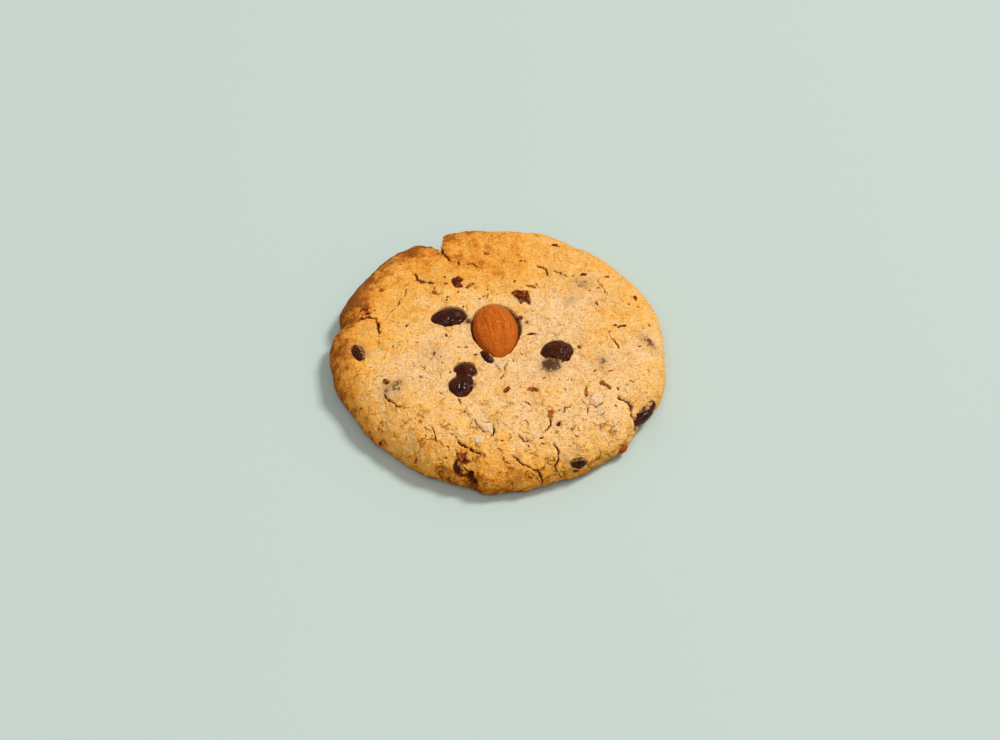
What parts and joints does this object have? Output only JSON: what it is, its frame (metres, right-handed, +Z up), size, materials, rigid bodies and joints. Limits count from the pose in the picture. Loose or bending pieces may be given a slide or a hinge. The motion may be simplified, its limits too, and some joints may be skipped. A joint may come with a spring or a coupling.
{
  "type": "cookie",
  "caption": "Round baked cookie with a crumbly cracked dough, a whole almond in the middle, raisins and nut chips, on a flat base.",
  "frame": {"origin": "middle of the dough's bounding box in X and Y, on the plane of its flat base", "axes": "+Z up out of the top, -Y to the near side that the almond's tip points to, +X to the right"},
  "size_m": [0.1036, 0.106, 0.0167],
  "materials": {
    "dough": "baked crumbly crust, matte",
    "almond_skin": "roasted almond skin, satin",
    "raisin": "wrinkled raisin skin, slightly glossy"
  },
  "bodies": {
    "root": {"dough": "dough", "almond": "almond_skin", "raisin_left": "raisin", "raisin_front": "raisin", "raisin_right": "raisin", "raisin_by_almond": "raisin", "raisin_left_rim": "raisin", "raisin_right_rim": "raisin", "raisin_near_rim": "raisin"}
  },
  "joints": []
}
